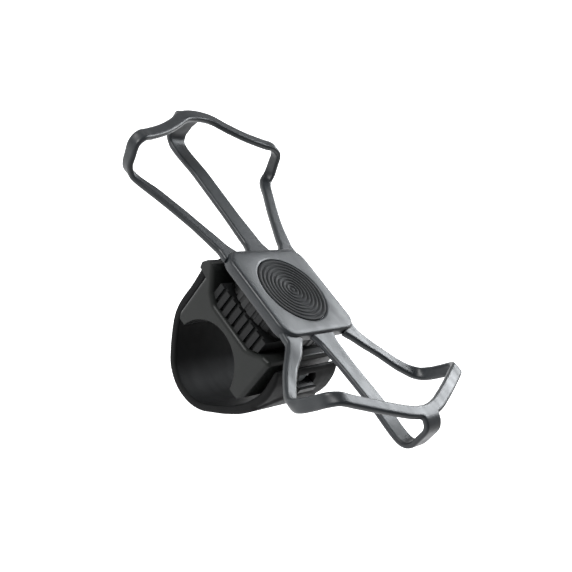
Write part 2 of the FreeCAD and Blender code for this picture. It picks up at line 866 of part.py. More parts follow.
# The narrow end runs on up between the ears and closes round the pin.
eye_centre = vec(0, D["pin_centre"], D["pin_height"])
eye_half = D["strap_eye_half_width"]
eye = Part.makeCylinder(
    D["strap_eye_radius"], 2 * eye_half, eye_centre + vec(-eye_half, 0, 0), vec(1, 0, 0)
)
neck_outline = Part.makePolygon(
    [
        inner_leg[-1] + vec(0, 0, -0.8),
        outer_leg[-1] + vec(0, 0, -0.8),
        vec(0, D["pin_centre"] + 1.9, D["pin_height"] - 1.9),
        vec(0, D["pin_centre"] - 1.6, D["pin_height"] - 1.6),
        inner_leg[-1] + vec(0, 0, -0.8),
    ]
)
neck = Part.Face(neck_outline)
neck.translate(vec(-eye_half, 0, 0))
neck = neck.extrude(vec(2 * eye_half, 0, 0))
pin_bore = Part.makeCylinder(
    D["pin_radius"] + 0.02, 2 * eye_half + 2, eye_centre + vec(-eye_half - 1, 0, 0), vec(1, 0, 0)
)
strap_shape = strap_shape.fuse([neck, eye]).cut(pin_bore).removeSplitter()
keep(feature("bar_strap", strap_shape.Solids[0]))

# Free end: a rounded start about the split, a lens-shaped gap beside the leg, a round tip.
heading = vec(0, SPLIT.z, -SPLIT.y)
heading.normalize()
outward = vec(0, SPLIT.y, SPLIT.z)
outward.normalize()
half = THICK / 2
start_inner = SPLIT - outward * half
start_outer = SPLIT + outward * half
start_arc = Part.Arc(start_inner, SPLIT - heading * half, start_outer).toShape()
leg_face = D["leg_outer_half"]
tail_inner = smooth(
    [
        start_inner,
        start_inner + heading * 2.4 + outward * 0.35,
        vec(0, -18.0, -3.6),
        vec(0, -21.3, 1.6),
        vec(0, -leg_face - 1.8, 6.5),
        vec(0, -leg_face - 3.0, 12.0),
        vec(0, -leg_face - 2.6, 17.5),
        vec(0, -leg_face - 1.4, 21.4),
    ]
)
tail_tip = Part.Arc(
    vec(0, -leg_face - 1.4, 21.4), vec(0, -leg_face - 2.5, 22.9), vec(0, -leg_face - 4.6, 22.1)
).toShape()
tail_outer = smooth(
    [
        vec(0, -leg_face - 4.6, 22.1),
        vec(0, -leg_face - 6.7, 17.5),
        vec(0, -leg_face - 7.2, 12.0),
        vec(0, -leg_face - 6.2, 6.2),
        vec(0, -leg_face - 3.7, 0.2),
        vec(0, -20.4, -6.6),
        start_outer + heading * 2.4 + outward * 0.2,
        start_outer,
    ]
)
tail_shape = slab([start_arc, tail_inner, tail_tip, tail_outer], D["strap_half_width"])
slot_half = D["strap_slot_half"]
slot = Part.makeBox(
    2 * slot_half,
    16,
    D["strap_slot_top"] - D["strap_slot_bottom"],
    vec(-slot_half, -leg_face - 14, D["strap_slot_bottom"]),
)
slot = slot.makeFillet(1.2, [e for e in slot.Edges if abs(e.tangentAt(0).y) > 0.9])
tail_shape = tail_shape.cut(slot).removeSplitter()
keep(feature("strap_tail", tail_shape.Solids[0]))

# ---------------------------------------------------------------- tie loops
# Each loop is one moulding: two corner strands and a middle stem. They are flat bands that follow
# free curves round the phone's edges, so they are lofted through band sections.


def band_section(centre, along, normal, width, thickness):
    """A flat band's section: an oblong, square to the band's run."""
    across = along.cross(normal)
    across.normalize()
    up = across.cross(along)
    up.normalize()
    a, b = width / 2, thickness / 2
    corners = [(a, b), (-a, b), (-a, -b), (a, -b)]
    points = [centre + across * u + up * v for u, v in corners]
    return Part.makePolygon(points + points[:1])


def band(stations, steps=2):
    """Lofts a band through (centre, normal, width, thickness) stations."""
    centres = [s[0] for s in stations]
    path = Part.BSplineCurve()
    path.interpolate(centres)
    marks = [path.parameter(p) for p in centres]
    sections = []
    for i in range(len(stations) - 1):
        last = i == len(stations) - 2
        for k in range(steps + (1 if last else 0)):
            f = k / steps
            at = marks[i] + (marks[i + 1] - marks[i]) * f
            normal = stations[i][1] * (1 - f) + stations[i + 1][1] * f
            width = stations[i][2] * (1 - f) + stations[i + 1][2] * f
            thickness = stations[i][3] * (1 - f) + stations[i + 1][3] * f
            along = path.tangent(at)[0]
            sections.append(band_section(path.value(at), along, normal, width, thickness))
    return Part.makeLoft(sections, True, True)


def mirrored_path(half):
    """A strand given from the middle outwards, doubled to run from side to side."""
    def flip(station):
        p, n, width, thickness = station
        return (vec(-p.x, p.y, p.z), vec(-n.x, n.y, n.z), width, thickness)

    return [flip(s) for s in reversed(half[1:])] + half


W = D["strand_width"]
T = D["strand_thickness"]
SIDE = D["phone_half_width"] + D["tie_stand_off"] + T / 2
BACK = D["phone_back"] - D["tie_stand_off"] - T / 2
FRONT = D["phone_front"] + D["tie_stand_off"] + T / 2
TOP = D["phone_top_edge"] + D["tie_stand_off"] + D["stem_thickness"] / 2
BOTTOM = -(D["phone_bottom_edge"] + D["tie_stand_off"] + D["stem_thickness"] / 2)
SW = D["stem_width"]
ST = D["stem_thickness"]
HUB_EDGE = D["hub_half_depth"] + D["loop_gap"]

top_strand = mirrored_path(
    [
        (vec(0, 79.6, FRONT + 1.2), vec(0, 0.10, 1), W * 1.15, T),
        (vec(7.5, 78.2, FRONT + 1.1), vec(0, 0.06, 1), W * 1.08, T),
        (vec(15.0, 74.8, FRONT + 0.7), vec(0, 0, 1), W, T),
        (vec(23.5, 70.8, FRONT + 0.3), vec(0, 0, 1), W, T),
        (vec(32.0, 68.0, FRONT + 0.05), vec(0, 0, 1), W, T),
        (vec(37.3, 66.5, FRONT - 0.1), vec(0.35, 0, 1), W, T),
        (vec(SIDE - 0.3, 65.3, 47.2), vec(1, 0, 0.45), W, T),
        (vec(SIDE, 63.8, 43.2), vec(1, 0, 0), W, T),
        (vec(SIDE - 0.3, 62.0, 38.8), vec(1, 0, -0.45), W, T),
        (vec(37.3, 59.7, BACK + 0.1), vec(0.3, 0, -1), W, T),
        (vec(31.5, 50.4, BACK - 0.2), vec(0, 0, -1), W, T),
        (vec(24.0, 36.5, BACK - 0.6), vec(0, 0, -1), W * 1.05, T),
        (vec(18.2, HUB_EDGE + 1.6, BACK - 0.9), vec(0, 0, -1), W * 1.15, T),
        (vec(17.6, HUB_EDGE, BACK - 0.95), vec(0, 0, -1), W * 1.15, T),
    ]
)
top_stem = [
    (vec(0, 79.4, FRONT + 1.0), vec(0, 0.3, 1), D["hump_width"], ST),
    (vec(0, 81.8, FRONT - 0.1), vec(0, 0.7, 0.8), D["hump_width"], ST),
    (vec(0, TOP, 46.6), vec(0, 1, 0.2), D["hump_width"] * 0.9, ST),
    (vec(0, TOP + 0.1, 42.6), vec(0, 1, 0), D["hump_width"] * 0.72, ST),
    (vec(0, TOP - 0.4, 38.6), vec(0, 1, -0.4), SW * 1.15, ST),
    (vec(0, 80.4, BACK), vec(0, 0.2, -1), SW, ST),
    (vec(0, 62.0, BACK - 0.1), vec(0, 0, -1), SW, ST),
    (vec(0, 42.0, BACK - 0.5), vec(0, 0, -1), SW, ST),
    (vec(0, HUB_EDGE, BACK - 0.9), vec(0, 0, -1), SW * 1.2, ST),
]
bottom_strand = mirrored_path(
    [
        (vec(0, -66.6, FRONT + 0.1), vec(0, -0.03, 1), W, T),
        (vec(8.0, -65.4, FRONT + 0.1), vec(0, 0, 1), W, T),
        (vec(16.0, -62.7, FRONT + 0.1), vec(0, 0, 1), W, T),
        (vec(24.0, -59.6, FRONT + 0.1), vec(0, 0, 1), W, T),
        (vec(32.0, -56.3, FRONT + 0.05), vec(0, 0, 1), W, T),
        (vec(37.2, -54.0, FRONT - 0.1), vec(0.35, 0, 1), W, T),
        (vec(SIDE - 0.3, -52.2, 47.2), vec(1, 0, 0.45), W, T),
        (vec(SIDE, -49.9, 42.8), vec(1, 0, 0), W, T),
        (vec(SIDE, -47.2, 38.2), vec(1, 0, -0.15), W, T),
        (vec(SIDE - 1.2, -44.3, 34.9), vec(0.8, 0, -1), W, T),
        (vec(34.6, -39.6, 33.7), vec(0.15, 0, -1), W, T),
        (vec(27.0, -31.2, 34.1), vec(0, 0, -1), W * 1.05, T),
        (vec(19.0, -HUB_EDGE - 1.8, BACK - 1.1), vec(0, 0, -1), W * 1.15, T),
        (vec(17.6, -HUB_EDGE, BACK - 0.95), vec(0, 0, -1), W * 1.15, T),
    ]
)
bottom_stem = [
    (vec(0, -66.2, FRONT + 0.05), vec(0, 0, 1), SW * 1.5, ST),
    (vec(0, -69.2, FRONT), vec(0, -0.25, 1), SW * 1.15, ST),
    (vec(0, BOTTOM + 0.3, 47.4), vec(0, -1, 0.5), SW * 1.1, ST),
    (vec(0, BOTTOM, 43.0), vec(0, -1, 0), SW * 1.05, ST),
    (vec(0, BOTTOM + 0.4, 38.7), vec(0, -1, -0.4), SW, ST),
    (vec(0, -69.2, BACK), vec(0, -0.2, -1), SW, ST),
    (vec(0, -52.0, BACK - 0.1), vec(0, 0, -1), SW, ST),
    (vec(0, -36.0, BACK - 0.5), vec(0, 0, -1), SW, ST),
    (vec(0, -HUB_EDGE, BACK - 0.9), vec(0, 0, -1), SW * 1.2, ST),
]


def tie_loop(name, strand, stem):
    shape = band(strand).fuse(band(stem))
    solids = shape.Solids
    if len(solids) != 1:
        raise RuntimeError(f"{name} is {len(solids)} solids")
    # trims the strands flat where they meet the hub
    side = 1 if strand[0][0].y > 0 else -1
    low = 0 if side > 0 else -HUB_EDGE
    trim = Part.makeBox(80, HUB_EDGE, 10, vec(-40, low, 30))
    return keep(feature(name, solids[0].cut(trim).Solids[0]))


tie_loop("top_loop", top_strand, top_stem)
tie_loop("bottom_loop", bottom_strand, bottom_stem)

# ---------------------------------------------------------------- checks and files

doc.recompute()
for obj in doc.Objects:
    if "Invalid" in obj.State or "Error" in obj.State:
        raise RuntimeError(f"{obj.Name} failed: {obj.State}")
os.makedirs("parts", exist_ok=True)
for node in NODES:
    shape = node.Shape
    if shape.isNull() or not shape.isValid() or shape.Volume <= 0:
        raise RuntimeError(f"{node.Label} has no valid shape")
    shape.exportStep(f"parts/{node.Label}.step")
    box = shape.BoundBox
    print(
        f"{node.Label}: {len(shape.Solids)} solid(s), {shape.Volume:.0f} mm3, "
        f"x {box.XMin:.1f}..{box.XMax:.1f} y {box.YMin:.1f}..{box.YMax:.1f} "
        f"z {box.ZMin:.1f}..{box.ZMax:.1f}"
    )
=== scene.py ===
"""Looks of the phone tie mount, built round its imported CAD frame.

Lengths are millimetres until finish_mesh() makes a mesh of them. The bar runs along X, the phone lies
along Y with its back facing down.
"""

import math

import bmesh
import bpy
from mathutils import Matrix, Vector


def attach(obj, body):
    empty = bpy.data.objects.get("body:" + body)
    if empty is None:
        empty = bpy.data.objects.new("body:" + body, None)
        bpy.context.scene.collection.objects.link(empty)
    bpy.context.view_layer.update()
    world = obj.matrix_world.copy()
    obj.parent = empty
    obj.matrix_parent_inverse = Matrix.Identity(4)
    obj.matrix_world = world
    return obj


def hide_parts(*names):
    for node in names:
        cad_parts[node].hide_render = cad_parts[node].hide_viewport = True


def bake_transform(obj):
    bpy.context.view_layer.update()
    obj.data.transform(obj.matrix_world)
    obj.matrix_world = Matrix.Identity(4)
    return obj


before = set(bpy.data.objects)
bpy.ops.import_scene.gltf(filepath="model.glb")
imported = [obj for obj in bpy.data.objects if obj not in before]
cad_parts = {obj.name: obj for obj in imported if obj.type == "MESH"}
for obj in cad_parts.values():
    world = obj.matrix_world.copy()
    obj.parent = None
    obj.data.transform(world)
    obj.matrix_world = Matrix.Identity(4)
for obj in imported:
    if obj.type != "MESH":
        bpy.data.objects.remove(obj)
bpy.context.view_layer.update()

MM = 0.001

# ------------------------------------------------------------------ materials

NOISE_LOW, NOISE_HIGH = 0.25, 0.75
RUBBER_GLOSS = 0.2
SCRATCH_SCALE = 1400
PEBBLE_SCALE = 1500


def set_range(node, start, end, low, high):
    """Sets a Map Range node to carry start..end to low..high."""
    for socket, number in (("From Min", start), ("From Max", end), ("To Min", low), ("To Max", high)):
        node.inputs[socket].default_value = number


class Nodes:
    """Short calls for building one material's node tree."""

    def __init__(self, name):
        self.material = bpy.data.materials.new(name)
        self.material.use_nodes = True
        self.tree = self.material.node_tree
        self.shader = self.tree.nodes["Principled BSDF"]
        self.place = self.add("ShaderNodeTexCoord").outputs["Object"]

    def add(self, kind, **settings):
        node = self.tree.nodes.new(kind)
        for key, value in settings.items():
            setattr(node, key, value)
        return node

    def join(self, a, b):
        self.tree.links.new(a, b)

    def noise(self, scale, detail=4.0, rough=0.55, stretch=(1, 1, 1)):
        mapping = self.add("ShaderNodeMapping")
        mapping.inputs["Scale"].default_value = stretch
        self.join(self.place, mapping.inputs["Vector"])
        node = self.add("ShaderNodeTexNoise")
        node.inputs["Scale"].default_value = scale
        node.inputs["Detail"].default_value = detail
        node.inputs["Roughness"].default_value = rough
        self.join(mapping.outputs["Vector"], node.inputs["Vector"])
        return node.outputs["Fac"]

    def cells(self, scale):
        node = self.add("ShaderNodeTexVoronoi")
        node.inputs["Scale"].default_value = scale
        self.join(self.place, node.inputs["Vector"])
        return node.outputs["Distance"]

    def ramp(self, value, stops):
        node = self.add("ShaderNodeValToRGB")
        ramp = node.color_ramp
        while len(ramp.elements) < len(stops):
            ramp.elements.new(0.5)
        for element, (at, colour) in zip(ramp.elements, stops):
            element.position = at
            element.color = (*colour, 1.0)
        self.join(value, node.inputs["Fac"])
        return node.outputs["Color"]

    def span(self, value, low, high):
        """The middle range of a noise value, carried to low..high."""
        node = self.add("ShaderNodeMapRange")
        set_range(node, NOISE_LOW, NOISE_HIGH, low, high)
        self.join(value, node.inputs["Value"])
        return node.outputs["Result"]

    def bump(self, value, strength, distance, under=None):
        node = self.add("ShaderNodeBump")
        node.inputs["Strength"].default_value = strength
        node.inputs["Distance"].default_value = distance
        self.join(value, node.inputs["Height"])
        if under is not None:
            self.join(under, node.inputs["Normal"])
        return node.outputs["Normal"]


def tinted(colour, factor):
    """The colour made lighter or darker."""
    return tuple(min(1.0, c * factor) for c in colour)


def moulded(name, colour, rough, grain, depth, mottle, gloss=0.5):
    """Moulded plastic, rubber or silicone: cloudy colour, uneven gloss, fine tool grain."""
    n = Nodes(name)
    cloud = n.noise(scale=95, detail=5)
    fine = n.noise(scale=grain, detail=3, rough=0.6)
    colours = n.ramp(
        cloud,
        [(0.3, tinted(colour, 1 - mottle)), (0.52, colour), (0.75, tinted(colour, 1 + mottle))],
    )
    n.join(colours, n.shader.inputs["Base Color"])
    smear = n.noise(scale=260, detail=3, rough=0.5, stretch=(1, 0.35, 1))
    n.join(n.span(smear, rough - 0.07, rough + 0.07), n.shader.inputs["Roughness"])
    wave = n.bump(cloud, strength=0.25, distance=0.00012)
    grained = n.bump(fine, strength=depth, distance=0.00004, under=wave)
    n.join(grained, n.shader.inputs["Normal"])
    n.shader.inputs["Specular IOR Level"].default_value = gloss
    return n.material


def metal(name, colour, rough, stretch):
    """Turned or stamped metal with fine directional scratches."""
    n = Nodes(name)
    n.shader.inputs["Metallic"].default_value = 1.0
    streaks = n.noise(scale=SCRATCH_SCALE, detail=2, rough=0.5, stretch=stretch)
    cloud = n.noise(scale=180, detail=4)
    colours = n.ramp(cloud, [(0.3, tinted(colour, 0.82)), (0.7, tinted(colour, 1.06))])
    n.join(colours, n.shader.inputs["Base Color"])
    n.join(n.span(streaks, rough - 0.06, rough + 0.1), n.shader.inputs["Roughness"])
    n.join(n.bump(streaks, strength=0.2, distance=0.00002), n.shader.inputs["Normal"])
    return n.material


def knurled_rubber(name, colour, rough):
    """Matte rubber with a pebbled skin."""
    n = Nodes(name)
    pebbles = n.cells(PEBBLE_SCALE)
    cloud = n.noise(scale=130, detail=4)
    colours = n.ramp(cloud, [(0.3, tinted(colour, 0.75)), (0.7, tinted(colour, 1.3))])
    n.join(colours, n.shader.inputs["Base Color"])
    n.join(n.span(cloud, rough - 0.05, rough + 0.08), n.shader.inputs["Roughness"])
    n.join(n.bump(pebbles, strength=0.3, distance=0.00006), n.shader.inputs["Normal"])
    n.shader.inputs["Specular IOR Level"].default_value = RUBBER_GLOSS
    return n.material


SILICONE = moulded(
    "tie_silicone_look", (0.015, 0.018, 0.021),
    rough=0.42, grain=2600, depth=0.12, mottle=0.14, gloss=0.45,
)
STRAP = moulded(
    "strap_rubber_look", (0.0055, 0.0057, 0.006),
    rough=0.6, grain=2100, depth=0.22, mottle=0.16, gloss=0.1,
)
NYLON = moulded(
    "saddle_nylon_look", (0.0125, 0.0138, 0.0132),
    rough=0.40, grain=1900, depth=0.22, mottle=0.10, gloss=0.20,
)
BLACK_NYLON = moulded(
    "turntable_nylon_look", (0.009, 0.0095, 0.010),
    rough=0.44, grain=1900, depth=0.22, mottle=0.15, gloss=0.25,
)
LINER = knurled_rubber("liner_rubber_look", (0.008, 0.008, 0.009), 0.62)
DAMPER = knurled_rubber("damper_rubber_look", (0.006, 0.0064, 0.0068), 0.5)
PAD = knurled_rubber("pad_rubber_look", (0.010, 0.011, 0.012), 0.6)
ACETAL = moulded(
    "ring_acetal_look", (0.55, 0.55, 0.52),
    rough=0.38, grain=1200, depth=0.08, mottle=0.05,
)
BLACK_STEEL = metal("screw_steel_look", (0.09, 0.09, 0.095), 0.38, (1, 1, 0.2))
STEEL = metal("washer_steel_look", (0.55, 0.56, 0.57), 0.34, (1, 0.1, 1))
PIN_STEEL = metal("pin_steel_look", (0.6, 0.6, 0.61), 0.24, (0.1, 1, 1))
BRASS = metal("insert_brass_look", (0.72, 0.50, 0.22), 0.30, (1, 1, 0.1))

CAD_LOOKS = {
    "saddle": NYLON,
    "saddle_liner": LINER,
    "damper_block": DAMPER,
    "pivot_insert": BRASS,
    "friction_ring": ACETAL,
    "pivot_screw": BLACK_STEEL,
    "disc_spring": STEEL,
    "flat_washer": STEEL,
    "turntable": BLACK_NYLON,
    "clamp_plate": STEEL,
    "plate_screws": BLACK_STEEL,
    "strap_pin": PIN_STEEL,
    "strap_hook": BLACK_NYLON,
    "hook_screws": BLACK_STEEL,
    "tie_hub": SILICONE,
    "front_pad": PAD,
    "bar_strap": STRAP,
    "strap_tail": STRAP,
    "top_loop": SILICONE,
    "bottom_loop": SILICONE,
}
for node_name, look in CAD_LOOKS.items():
    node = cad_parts[node_name]
    node.data.materials.clear()
    node.data.materials.append(look)

# ------------------------------------------------------------------ mesh helpers


def finish_mesh(name, bm, look):
    """A shaded object from a bmesh in millimetres."""
    bmesh.ops.recalc_face_normals(bm, faces=bm.faces)
    bmesh.ops.scale(bm, vec=(MM, MM, MM), verts=bm.verts)
    mesh = bpy.data.meshes.new(name)
    bm.to_mesh(mesh)
    bm.free()
    obj = bpy.data.objects.new(name, mesh)
    bpy.context.scene.collection.objects.link(obj)
    mesh.materials.append(look)
    for polygon in mesh.polygons:
        polygon.use_smooth = True
    return obj


def knot_gap(p, q):
    """The centripetal spacing of two points' knots."""
    return max(1e-6, (q - p).length ** 0.5)


def between(p, q, start, end, t):
    """The point at t on the line that passes p at start and q at end."""
    return p * ((end - t) / (end - start)) + q * ((t - start) / (end - start))


def curve_points(points, step):
    """Points about one step apart on a centripetal curve through the given points, each with the
    place, as a station number, that it has among them."""
    pts = [Vector(p) for p in points]
    padded = [pts[0] * 2 - pts[1]] + pts + [pts[-1] * 2 - pts[-2]]
    found = []
    for i in range(1, len(padded) - 2):
        p0, p1, p2, p3 = padded[i - 1 : i + 3]
        t0 = 0.0
        t1 = t0 + knot_gap(p0, p1)
        t2 = t1 + knot_gap(p1, p2)
        t3 = t2 + knot_gap(p2, p3)
        count = max(2, round((p2 - p1).length / step))
        last = i == len(padded) - 3
        for k in range(count + (1 if last else 0)):
            f = k / count
            t = t1 + (t2 - t1) * f
            a1 = between(p0, p1, t0, t1, t)
            a2 = between(p1, p2, t1, t2, t)
            a3 = between(p2, p3, t2, t3, t)
            b1 = between(a1, a2, t0, t2, t)
            b2 = between(a2, a3, t1, t3, t)
            found.append((between(b1, b2, t1, t2, t), i - 1 + f))
    return found


def smooth_share(f):
    """A share from 0 to 1 that starts and ends gently."""
    return f * f * (3 - 2 * f)


def eased(values, place):
    """The value at a place among the stations, eased from each station's value to the next."""
    i = min(int(place), len(values) - 2)
    f = smooth_share(place - i)
    return values[i] * (1 - f) + values[i + 1] * f


def oblong(width, thickness, radius, across, corner=5):
    """A rounded oblong's outline, counterclockwise from its lower left, as (u, v) pairs.

    Each corner has that many steps, and the two long sides are cut into that many across.
    """
    a, b = width / 2 - radius, thickness / 2 - radius
    outline = []
    for cx, cy, start in ((-a, -b, 180), (a, -b, 270), (a, b, 0), (-a, b, 90)):
        for k in range(corner + 1):
            angle = math.radians(start + 90 * k / corner)
            outline.append((cx + radius * math.cos(angle), cy + radius * math.sin(angle)))
        if start in (180, 0):
            x0, y0 = outline[-1]
            x1 = -x0
            for k in range(1, across):
                outline.append((x0 + (x1 - x0) * k / across, y0))
    return outline


def join_rings(bm, rings, closed=False):
    """Faces between rings of equal vertex counts: closed back on itself, or capped at both ends."""
    count = len(rings[0])
    for low, high in zip(rings, rings[1:] + (rings[:1] if closed else [])):
        for k in range(count):
            m = (k + 1) % count
            bm.faces.new((low[k], low[m], high[m], high[k]))
    if not closed:
        bm.faces.new(list(reversed(rings[0])))
        bm.faces.new(rings[-1])


def add_band(bm, stations, step=0.7, across=6, radius_share=0.42, relief=None):
    """A flat band through stations of (centre, normal, width, thickness). The relief, if any, gives
    the height to add to the outer face at a centre and a distance u to the side of it."""
    places = curve_points([s[0] for s in stations], step)
    normals = [Vector(s[1]).normalized() for s in stations]
    rings = []
    for i, (centre, place) in enumerate(places):
        before = places[max(0, i - 1)][0]
        after = places[min(len(places) - 1, i + 1)][0]
        along = (after - before).normalized()
        normal = eased(normals, place)
        side = along.cross(normal).normalized()
        up = side.cross(along).normalized()
        width = eased([s[2] for s in stations], place)
        thickness = eased([s[3] for s in stations], place)
        ring = []
        for u, v in oblong(width, thickness, thickness * radius_share, across):
            raised = relief(centre, u) if relief and v > 0 else 0.0
            ring.append(bm.verts.new(centre + side * u + up * (v + raised)))
        rings.append(ring)
    join_rings(bm, rings)


def mirrored(half):
    """A path given from the middle outwards, doubled to run from side to side."""
    flipped = [((-p[0], p[1], p[2]), (-n[0], n[1], n[2]), w, t) for p, n, w, t in reversed(half[1:])]
    return flipped + list(half)


def apply_modifiers(obj):
    """Bakes the object's modifiers into its mesh."""
    depsgraph = bpy.context.evaluated_depsgraph_get()
    mesh = bpy.data.meshes.new_from_object(obj.evaluated_get(depsgraph))
    old = obj.data
    obj.modifiers.clear()
    obj.data = mesh
    mesh.name = old.name
    bpy.data.meshes.remove(old)
    for polygon in mesh.polygons:
        polygon.use_smooth = True


def one_skin(obj, voxel, smooth_steps):
    """Melts crossing bands into one smooth skin. The object is in metres, the voxel in millimetres."""
    obj.data.transform(Matrix.Scale(1 / MM, 4))
    remesh = obj.modifiers.new("skin", "REMESH")
    remesh.mode = "VOXEL"
    remesh.voxel_size = voxel
    remesh.use_smooth_shade = True
    smooth = obj.modifiers.new("soften", "SMOOTH")
    smooth.factor = 0.5
    smooth.iterations = smooth_steps
    apply_modifiers(obj)
    obj.data.transform(Matrix.Scale(MM, 4))


# ------------------------------------------------------------------ the silicone tie

# The space that the phone takes up.
PHONE_HALF_WIDTH = 38.9
PHONE_BACK = 37.7
PHONE_FRONT = 48.2
PHONE_TOP = 82.1
PHONE_BOTTOM = 70.9
GAP = 0.15

# The strands wrap the phone's corners and the stems wrap its ends.
STRAND_W, STRAND_T = 5.0, 2.4
STEM_W, STEM_T = 8.4, 2.1

# Middle lines of the strands and stems where they lie on the phone, and of their roots in the hub.
SIDE = PHONE_HALF_WIDTH + GAP + STRAND_T / 2
BACK = PHONE_BACK - GAP - STRAND_T / 2
FRONT = PHONE_FRONT + GAP + STRAND_T / 2
TOP = PHONE_TOP + GAP + STEM_T / 2
BOTTOM = -(PHONE_BOTTOM + GAP + STEM_T / 2)
ROOT = 19.0

# Each station of a band is its middle, the way that its outer face looks, its width and thickness.

TOP_STRAND = mirrored(
    [
        ((0, 80.0, FRONT + 1.3), (0, 0.10, 1), STRAND_W * 1.2, STRAND_T),
        ((7.5, 78.9, FRONT + 1.2), (0, 0.06, 1), STRAND_W * 1.12, STRAND_T),
        ((15.0, 74.8, FRONT + 0.7), (0, 0, 1), STRAND_W, STRAND_T),
        ((23.5, 70.8, FRONT + 0.3), (0, 0, 1), STRAND_W, STRAND_T),
        ((32.0, 68.0, FRONT + 0.05), (0, 0, 1), STRAND_W, STRAND_T),
        ((37.3, 66.5, FRONT - 0.1), (0.35, 0, 1), STRAND_W, STRAND_T),
        ((SIDE - 0.3, 65.3, 47.2), (1, 0, 0.45), STRAND_W, STRAND_T),
        ((SIDE, 63.8, 43.2), (1, 0, 0), STRAND_W, STRAND_T),
        ((SIDE - 0.3, 62.0, 38.8), (1, 0, -0.45), STRAND_W, STRAND_T),
        ((37.3, 59.7, BACK + 0.1), (0.3, 0, -1), STRAND_W, STRAND_T),
        ((31.5, 50.4, BACK - 0.2), (0, 0, -1), STRAND_W, STRAND_T),
        ((24.0, 36.5, BACK - 0.6), (0, 0, -1), STRAND_W * 1.05, STRAND_T),
        ((18.6, 24.0, BACK - 0.9), (0, 0, -1), STRAND_W * 1.3, STRAND_T * 1.05),
        ((16.8, ROOT, BACK - 1.0), (0, 0, -1), STRAND_W * 1.9, STRAND_T * 1.1),
    ]
)
TOP_STEM = [
    ((0, 79.6, FRONT + 1.3), (0, 0.3, 1), 15.0, STEM_T),
    ((0, 82.3, FRONT + 0.2), (0, 0.7, 0.8), 16.6, STEM_T),
    ((0, TOP + 0.1, 46.6), (0, 1, 0.2), 14.0, STEM_T),
    ((0, TOP + 0.1, 42.6), (0, 1, 0), 10.8, STEM_T),
    ((0, TOP - 0.4, 38.6), (0, 1, -0.4), STEM_W * 1.15, STEM_T),
    ((0, 80.4, BACK), (0, 0.2, -1), STEM_W, STEM_T),
    ((0, 62.0, BACK - 0.1), (0, 0, -1), STEM_W, STEM_T),
    ((0, 42.0, BACK - 0.5), (0, 0, -1), STEM_W, STEM_T),
    ((0, 26.0, BACK - 0.8), (0, 0, -1), STEM_W * 1.15, STEM_T * 1.05),
    ((0, ROOT, BACK - 0.9), (0, 0, -1), STEM_W * 1.6, STEM_T * 1.15),
]
BOTTOM_STRAND = mirrored(
    [
        ((0, -66.6, FRONT + 0.1), (0, -0.03, 1), STRAND_W, STRAND_T),
        ((8.0, -65.4, FRONT + 0.1), (0, 0, 1), STRAND_W, STRAND_T),
        ((16.0, -62.7, FRONT + 0.1), (0, 0, 1), STRAND_W, STRAND_T),
        ((24.0, -59.6, FRONT + 0.1), (0, 0, 1), STRAND_W, STRAND_T),
        ((32.0, -56.3, FRONT + 0.05), (0, 0, 1), STRAND_W, STRAND_T),
        ((37.2, -54.0, FRONT - 0.1), (0.35, 0, 1), STRAND_W, STRAND_T),
        ((SIDE - 0.3, -52.2, 47.2), (1, 0, 0.45), STRAND_W, STRAND_T),
        ((SIDE, -49.9, 42.8), (1, 0, 0), STRAND_W, STRAND_T),
        ((SIDE, -47.2, 38.2), (1, 0, -0.15), STRAND_W, STRAND_T),
        ((SIDE - 1.2, -44.3, 34.9), (0.8, 0, -1), STRAND_W, STRAND_T),
        ((34.6, -39.6, 33.7), (0.15, 0, -1), STRAND_W, STRAND_T),
        ((27.0, -31.2, 34.1), (0, 0, -1), STRAND_W * 1.05, STRAND_T),
        ((19.4, -24.0, BACK - 1.2), (0, 0, -1), STRAND_W * 1.3, STRAND_T * 1.05),
        ((16.6, -ROOT, BACK - 1.0), (0, 0, -1), STRAND_W * 1.9, STRAND_T * 1.1),
    ]
)
BOTTOM_STEM = [
    ((0, -65.6, FRONT + 0.1), (0, 0, 1), STEM_W * 1.6, STEM_T),
    ((0, -69.2, FRONT), (0, -0.25, 1), STEM_W * 1.15, STEM_T),
    ((0, BOTTOM + 0.3, 47.4), (0, -1, 0.5), STEM_W * 1.1, STEM_T),
    ((0, BOTTOM, 43.0), (0, -1, 0), STEM_W * 1.05, STEM_T),
    ((0, BOTTOM + 0.4, 38.7), (0, -1, -0.4), STEM_W, STEM_T),
    ((0, -69.2, BACK), (0, -0.2, -1), STEM_W, STEM_T),
    ((0, -52.0, BACK - 0.1), (0, 0, -1), STEM_W, STEM_T),
    ((0, -36.0, BACK - 0.5), (0, 0, -1), STEM_W, STEM_T),
    ((0, -26.0, BACK - 0.8), (0, 0, -1), STEM_W * 1.15, STEM_T * 1.05),
    ((0, -ROOT, BACK - 0.9), (0, 0, -1), STEM_W * 1.6, STEM_T * 1.15),
]

VOXEL = 0.3
SMOOTH_STEPS = 4
for name, strand, stem, sign in (
    ("tie_top", TOP_STRAND, TOP_STEM, 1),
    ("tie_bottom", BOTTOM_STRAND, BOTTOM_STEM, -1),
):
    bm = bmesh.new()
    add_band(bm, strand)
    add_band(bm, stem)
    loop = finish_mesh(name, bm, SILICONE)
    one_skin(loop, VOXEL, SMOOTH_STEPS)
    body = "top_loop" if sign > 0 else "bottom_loop"
    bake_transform(loop)
    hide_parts(body)

# ------------------------------------------------------------------ the tie's centre

RING_POINTS = 144


def circle_ring(radius):
    angles = [2 * math.pi * k / RING_POINTS for k in range(RING_POINTS)]
    return [(radius * math.cos(angle), radius * math.sin(angle)) for angle in angles]


